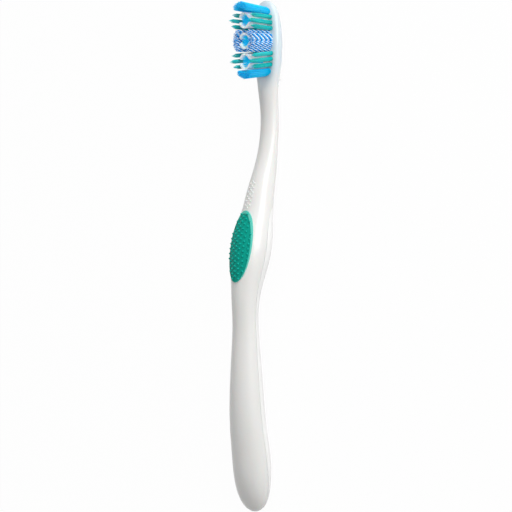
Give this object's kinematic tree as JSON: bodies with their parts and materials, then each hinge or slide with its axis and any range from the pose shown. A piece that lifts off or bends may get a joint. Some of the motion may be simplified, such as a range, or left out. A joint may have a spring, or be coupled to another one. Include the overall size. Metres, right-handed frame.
{
  "type": "manual toothbrush",
  "caption": "Manual toothbrush with a lofted handle, soft thumb pad and back grip, polishing cups, pointed side tufts and crescent end tufts, and a tongue cleaner.",
  "frame": {"origin": "on the surface that the brush lies on, under the middle of its length and width", "axes": "+X along the brush towards the toe of the head, +Z the way the bristles point, +Y to the brush's left seen from its tail with the bristles up"},
  "size_m": [0.19, 0.0164, 0.0203],
  "materials": {
    "handle": "pearl white, glossy",
    "thumb_grip": "teal soft overmould, satin",
    "back_grip": "white soft overmould, matte",
    "tongue_cleaner": "white soft overmould, satin",
    "cups": "whitish translucent elastomer",
    "cup_bristles": "blue nylon bristles",
    "end_bristles": "bright blue nylon bristles",
    "spiral_bristles": "blue and white twisted bristles",
    "side_bristles": "teal nylon bristles with pointed tips",
    "anchors": "stamped from flat wire"
  },
  "bodies": {
    "root": {"handle_core": "handle", "thumb_grip": "thumb_grip", "back_grip": "back_grip", "tongue_cleaner": "tongue_cleaner", "polishing_cup_toe": "cups", "polishing_cup_middle": "cups", "polishing_cup_heel": "cups", "cup_tuft_toe": "cup_bristles", "cup_tuft_middle": "cup_bristles", "cup_tuft_heel": "cup_bristles", "toe_tuft": "end_bristles", "heel_tuft": "end_bristles", "spiral_tuft_left": "spiral_bristles", "spiral_tuft_right": "spiral_bristles", "side_tuft_anchors": "anchors", "cup_tuft_anchors": "anchors", "end_tuft_anchors": "anchors", "spiral_tuft_anchors": "anchors", "side_tuft_left_1": "side_bristles", "side_tuft_left_2": "side_bristles", "side_tuft_left_3": "side_bristles", "side_tuft_left_4": "side_bristles", "side_tuft_left_5": "side_bristles", "side_tuft_left_6": "side_bristles", "side_tuft_right_1": "side_bristles", "side_tuft_right_2": "side_bristles", "side_tuft_right_3": "side_bristles", "side_tuft_right_4": "side_bristles", "side_tuft_right_5": "side_bristles", "side_tuft_right_6": "side_bristles"}
  },
  "joints": []
}
